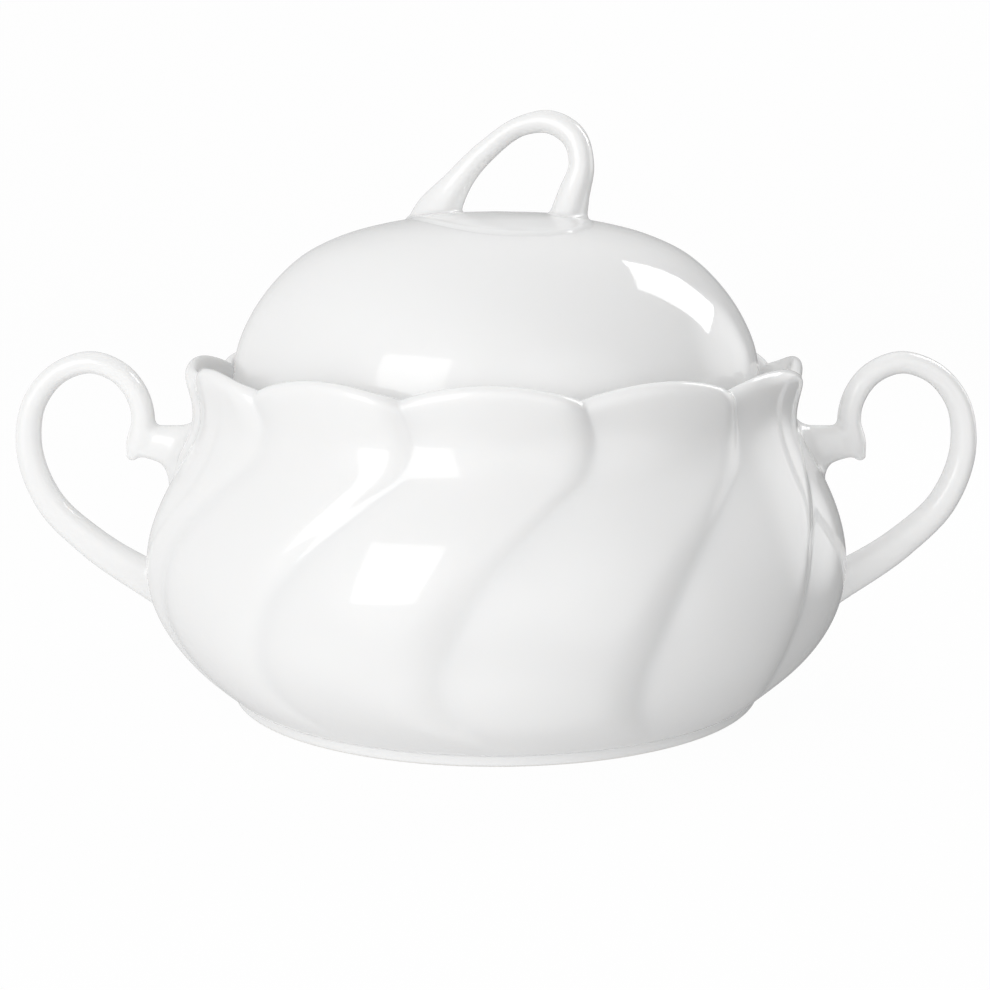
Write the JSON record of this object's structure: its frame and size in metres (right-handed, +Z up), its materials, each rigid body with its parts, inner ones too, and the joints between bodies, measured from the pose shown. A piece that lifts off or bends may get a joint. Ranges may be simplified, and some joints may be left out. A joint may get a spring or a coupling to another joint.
{
  "type": "soup tureen",
  "caption": "Round porcelain soup tureen with swirling flutes, scalloped rim and ear-shaped loop handles; domed lid with a leaning loop knob lifts straight off.",
  "frame": {"origin": "on the bowl's axis, at the level the foot ring stands on", "axes": "+Z up; +X from handle to handle; -Y is the side seen from the front"},
  "size_m": [0.3402, 0.243, 0.2028],
  "materials": {
    "glazed_porcelain": "glossy white glaze",
    "unglazed_foot": "matt ground biscuit"
  },
  "bodies": {
    "tureen": {"tureen_bowl": "glazed_porcelain", "foot_ring": "unglazed_foot", "left_handle": "glazed_porcelain", "right_handle": "glazed_porcelain"},
    "lid": {"lid": "glazed_porcelain", "lid_knob": "glazed_porcelain"}
  },
  "joints": [
    {"name": "lid_lift", "type": "slide", "parent": "tureen", "child": "lid", "axis": [0, 0, 1], "range_m": [0, 0.15]}
  ]
}
